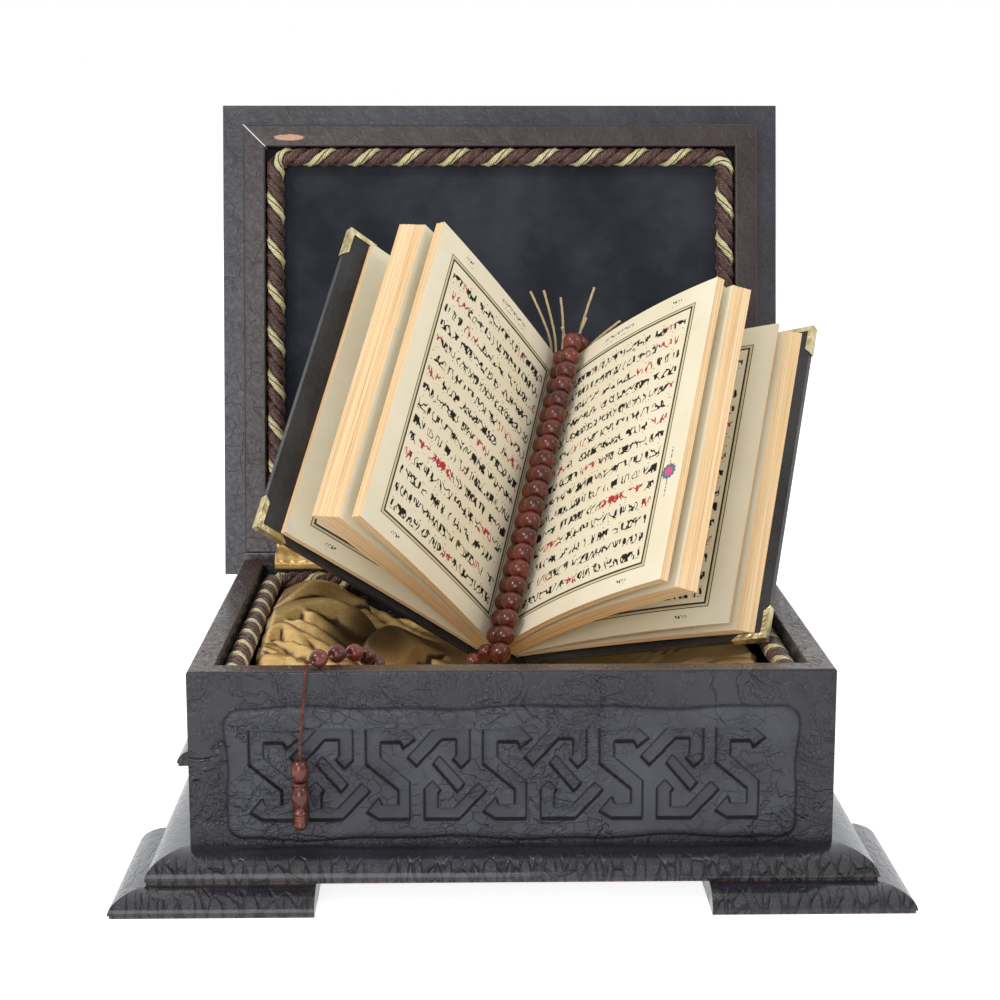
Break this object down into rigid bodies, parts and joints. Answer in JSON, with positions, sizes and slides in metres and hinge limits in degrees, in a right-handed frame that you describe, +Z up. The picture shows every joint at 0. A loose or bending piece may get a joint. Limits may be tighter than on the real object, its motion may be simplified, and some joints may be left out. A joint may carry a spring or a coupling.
{
  "type": "book box",
  "caption": "Footed leather-covered box for a holy book, its hinged lid open, with satin nest, rope trims, open book and bead string",
  "frame": {"origin": "On the surface it stands on, under the middle of the bounding box of the open box", "axes": "+X to the right of someone facing the front wall, +Y towards the hinges, +Z up"},
  "size_m": [0.3676, 0.3504, 0.3661],
  "materials": {
    "crackled_leather": "dark, finely crackled, waxed",
    "lid_leather": "smooth brown-purple, satin",
    "bare_wood": "planed softwood",
    "velvet": "short blue-black pile",
    "striped_rope": "twisted satin cord, brown with a cream strand",
    "satin": "gold satin",
    "paper": "cream, matt",
    "cover_leather": "black, fine grain, semi-gloss",
    "back_cloth": "open-weave lining",
    "pale_brass": "pressed sheet, slightly tarnished",
    "hinge_brass": "satin",
    "red_bead": "polished red-brown resin",
    "red_cord": "twisted red-brown cord",
    "gilt_thread": "stiff gilt thread"
  },
  "bodies": {
    "box": {"back_leather_panel": "crackled_leather", "back_wall": "crackled_leather", "base_board": "bare_wood", "box_rope": "striped_rope", "foot_back_left": "crackled_leather", "foot_back_right": "crackled_leather", "foot_front_left": "crackled_leather", "foot_front_right": "crackled_leather", "front_leather_panel": "crackled_leather", "front_wall": "crackled_leather", "hinge_leaf_box_left": "hinge_brass", "hinge_leaf_box_right": "hinge_brass", "hinge_pin_left": "hinge_brass", "hinge_pin_right": "hinge_brass", "hinge_screws_box": "hinge_brass", "left_leather_panel": "crackled_leather", "left_wall": "crackled_leather", "plinth_back": "crackled_leather", "plinth_front": "crackled_leather", "plinth_left": "crackled_leather", "plinth_right": "crackled_leather", "right_leather_panel": "crackled_leather", "right_wall": "crackled_leather", "satin_nest": "satin", "satin_strip": "satin"},
    "lid": {"hinge_leaf_lid_left": "hinge_brass", "hinge_leaf_lid_right": "hinge_brass", "hinge_screws_lid": "hinge_brass", "lid_board": "lid_leather", "lid_leather_panel": "crackled_leather", "lid_rail_back": "lid_leather", "lid_rail_front": "lid_leather", "lid_rail_left": "lid_leather", "lid_rail_right": "lid_leather", "lid_rope": "striped_rope", "lid_velvet_panel": "velvet"},
    "book": {"bead_string": "red_cord", "book_cover_left": "cover_leather", "book_cover_right": "cover_leather", "book_spine": "cover_leather", "cover_corner_left_head": "pale_brass", "cover_corner_left_tail": "pale_brass", "cover_corner_right_head": "pale_brass", "cover_corner_right_tail": "pale_brass", "gilt_threads": "gilt_thread", "gutter_beads_back": "red_bead", "gutter_beads_front": "red_bead", "pages_left_inner": "paper", "pages_left_middle": "paper", "pages_left_outer": "paper", "pages_right_inner": "paper", "pages_right_leaf": "paper", "pages_right_middle": "paper", "pages_right_outer": "paper", "pendant_bead": "red_bead", "pendant_cord": "red_cord", "pendant_drop": "red_bead", "sewn_back": "back_cloth", "small_beads": "red_bead", "string_knot": "red_cord"}
  },
  "joints": [
    {"name": "lid_hinge", "type": "hinge", "parent": "box", "child": "lid", "pos_m": [0, 0.1112, 0.10625], "axis": [1, 0, 0], "range_deg": [0, 99.4], "deforming": ["satin_strip"]},
    {"name": "book_lift", "type": "slide", "parent": "box", "child": "book", "axis": [0, -0.7071, 0.7071], "range_m": [0, 0.61]}
  ],
  "couplings": [
    {"joint": "book_lift", "follows": "lid_hinge", "m_per_rad": 0.35}
  ]
}
